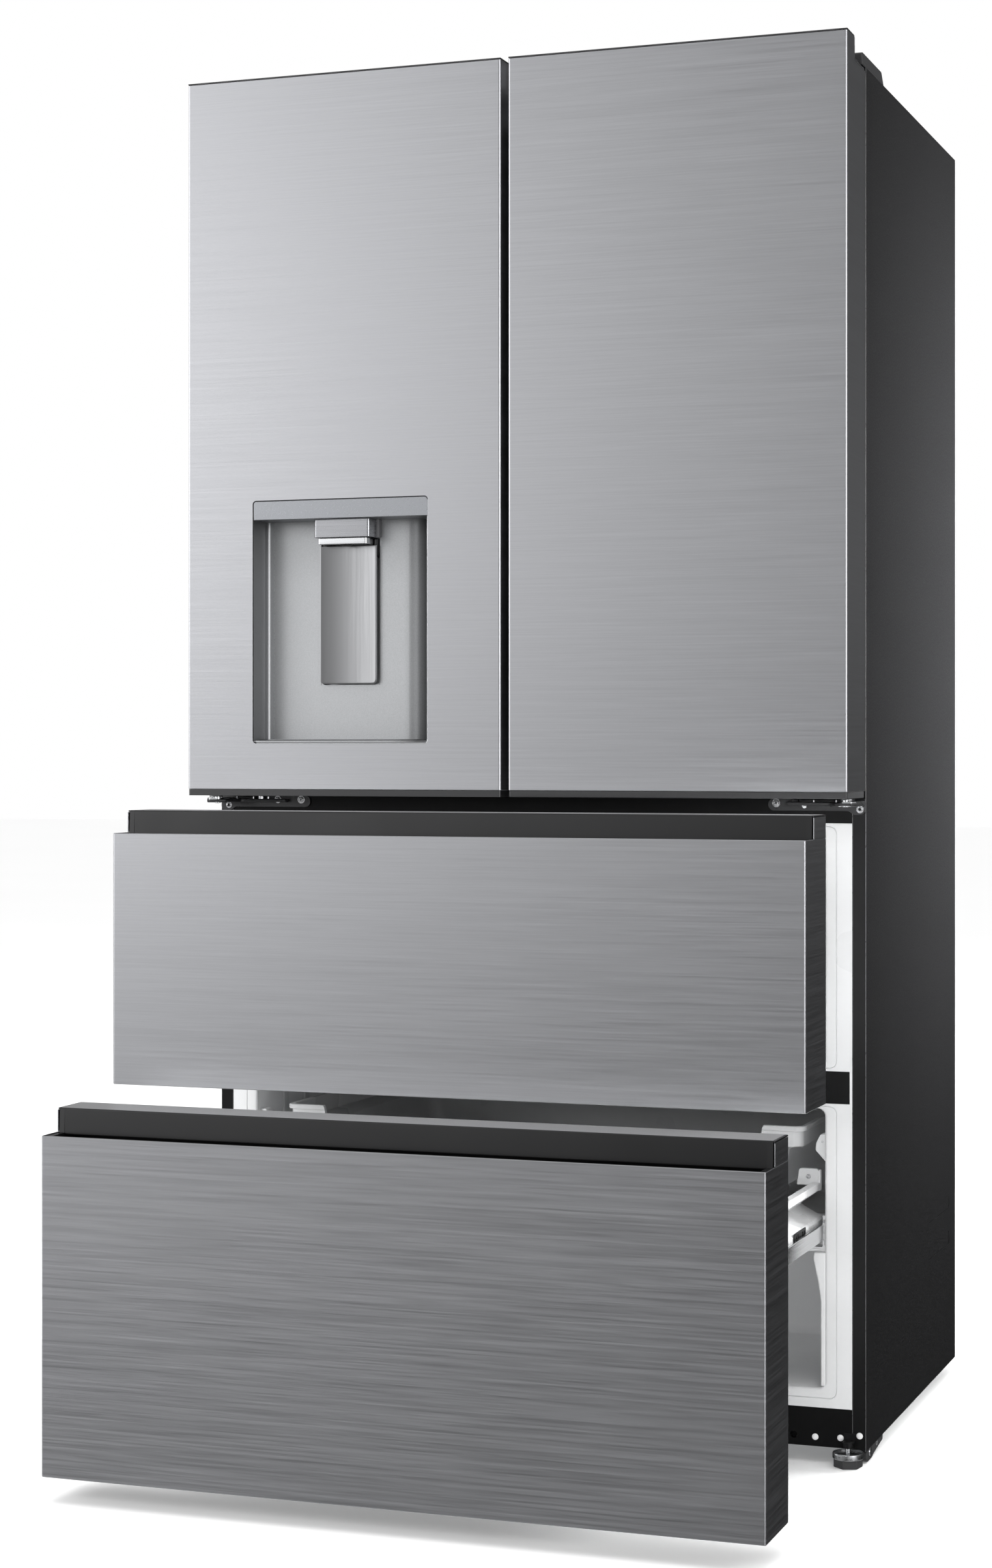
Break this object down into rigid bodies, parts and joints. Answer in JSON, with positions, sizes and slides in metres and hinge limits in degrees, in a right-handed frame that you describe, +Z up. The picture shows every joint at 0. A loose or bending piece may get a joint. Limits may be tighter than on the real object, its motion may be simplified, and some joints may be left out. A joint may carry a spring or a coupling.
{
  "type": "refrigerator",
  "caption": "Free-standing refrigerator with two side-by-side upper doors, a water dispenser in the left door and two full-width bottom drawers drawn part way out.",
  "frame": {"origin": "centre of the footprint at floor level, with the drawers standing open as at rest", "axes": "+Z up, -Y towards the user, +X to the right as seen from the front"},
  "size_m": [0.89, 1.1096, 1.7845],
  "materials": {
    "painted_steel": "fine matt texture",
    "black_steel": "satin",
    "white_plastic": "satin",
    "foam": "matt",
    "front_steel": "fine horizontal brushing",
    "dark_plastic": "satin",
    "gasket_rubber": "soft",
    "clear_plastic": "clear",
    "galvanised": "dull",
    "black_can": "satin",
    "coil_metal": "plain",
    "runner_steel": "bright",
    "dispenser_plastic": "satin metallic",
    "paddle_metal": "polished",
    "foot_plastic": "matt",
    "screw_steel": "bright",
    "cap_white": "plain",
    "fan_plastic": "plain"
  },
  "bodies": {
    "cabinet": {"base_pan": "galvanised", "cabinet_shell": "painted_steel", "cavity_liners": "white_plastic", "ceiling_lamp": "cap_white", "centre_post": "dark_plastic", "compressor": "black_can", "condenser_coil": "coil_metal", "crisper_drawers": "clear_plastic", "drain_pan": "dark_plastic", "duct_covers": "white_plastic", "evaporator": "coil_metal", "fan_bracket": "fan_plastic", "foot_brackets": "black_steel", "front_rails": "black_steel", "glass_shelves": "clear_plastic", "hinge_covers": "dark_plastic", "hinge_screws": "screw_steel", "insulation_foam": "foam", "mains_inlet": "dark_plastic", "mid_hinges": "black_steel", "rear_panels": "galvanised", "runner_rails": "runner_steel", "toe_rail_caps": "cap_white", "top_hinges": "black_steel"},
    "left_door": {"left_door_skin": "front_steel", "left_door_caps": "dark_plastic", "left_door_foam": "foam", "left_door_liner": "white_plastic", "left_door_gasket": "gasket_rubber", "left_door_bins": "clear_plastic", "water_tank": "clear_plastic", "dispenser_housing": "dispenser_plastic", "dispenser_head": "dispenser_plastic"},
    "right_door": {"right_door_skin": "front_steel", "right_door_caps": "dark_plastic", "right_door_foam": "foam", "right_door_liner": "white_plastic", "right_door_gasket": "gasket_rubber", "right_door_bins": "clear_plastic"},
    "upper_drawer": {"upper_drawer_front": "front_steel", "upper_drawer_trim": "dark_plastic", "upper_drawer_back": "white_plastic", "upper_drawer_gasket": "gasket_rubber", "upper_drawer_basket": "white_plastic", "upper_drawer_arms": "runner_steel"},
    "upper_slides": {"upper_runner_slides": "runner_steel"},
    "lower_drawer": {"lower_drawer_front": "front_steel", "lower_drawer_trim": "dark_plastic", "lower_drawer_back": "white_plastic", "lower_drawer_gasket": "gasket_rubber", "lower_drawer_basket": "white_plastic", "lower_drawer_arms": "runner_steel"},
    "lower_slides": {"lower_runner_slides": "runner_steel"},
    "freezer_tray": {"freezer_tray": "white_plastic"},
    "dispenser_paddle": {"dispenser_paddle": "paddle_metal"},
    "left_foot": {"left_foot": "foot_plastic"},
    "right_foot": {"right_foot": "foot_plastic"},
    "left_roller": {"left_roller": "foot_plastic"},
    "right_roller": {"right_roller": "foot_plastic"},
    "condenser_fan": {"condenser_fan": "fan_plastic"}
  },
  "joints": [
    {"name": "left_door_swing", "type": "hinge", "parent": "cabinet", "child": "left_door", "pos_m": [-0.432, -0.09345, 1.3], "axis": [0, 0, -1], "range_deg": [0, 115]},
    {"name": "right_door_swing", "type": "hinge", "parent": "cabinet", "child": "right_door", "pos_m": [0.432, -0.09345, 1.3], "axis": [0, 0, 1], "range_deg": [0, 115]},
    {"name": "upper_drawer_slide", "type": "slide", "parent": "cabinet", "child": "upper_drawer", "axis": [0, -1, 0], "range_m": [-0.2164, 0.2036]},
    {"name": "lower_drawer_slide", "type": "slide", "parent": "cabinet", "child": "lower_drawer", "axis": [0, -1, 0], "range_m": [-0.4014, 0.0586]},
    {"name": "upper_runner_travel", "type": "slide", "parent": "cabinet", "child": "upper_slides", "axis": [0, -1, 0], "range_m": [-0.1082, 0.1018]},
    {"name": "lower_runner_travel", "type": "slide", "parent": "cabinet", "child": "lower_slides", "axis": [0, -1, 0], "range_m": [-0.2007, 0.0293]},
    {"name": "freezer_tray_slide", "type": "slide", "parent": "cabinet", "child": "freezer_tray", "axis": [0, -1, 0], "range_m": [0, 0.28]},
    {"name": "paddle_tip", "type": "hinge", "parent": "left_door", "child": "dispenser_paddle", "pos_m": [-0.22825, -0.10545, 1.16], "axis": [1, 0, 0], "range_deg": [0, 5], "stiffness_Nm_per_rad": 0.3, "springref_deg": -11.46},
    {"name": "left_foot_turn", "type": "hinge", "parent": "cabinet", "child": "left_foot", "pos_m": [-0.424, -0.05645, 0.02], "axis": [0, 0, 1], "continuous": true},
    {"name": "right_foot_turn", "type": "hinge", "parent": "cabinet", "child": "right_foot", "pos_m": [0.424, -0.05645, 0.02], "axis": [0, 0, 1], "continuous": true},
    {"name": "left_roller_spin", "type": "hinge", "parent": "cabinet", "child": "left_roller", "pos_m": [-0.4, 0.50155, 0.017], "axis": [1, 0, 0], "continuous": true},
    {"name": "right_roller_spin", "type": "hinge", "parent": "cabinet", "child": "right_roller", "pos_m": [0.4, 0.50155, 0.017], "axis": [1, 0, 0], "continuous": true},
    {"name": "condenser_fan_spin", "type": "hinge", "parent": "cabinet", "child": "condenser_fan", "pos_m": [-0.1, 0.43655, 0.13], "axis": [1, 0, 0], "continuous": true}
  ],
  "couplings": [
    {"joint": "upper_runner_travel", "follows": "upper_drawer_slide", "ratio": 0.5},
    {"joint": "lower_runner_travel", "follows": "lower_drawer_slide", "ratio": 0.5}
  ]
}
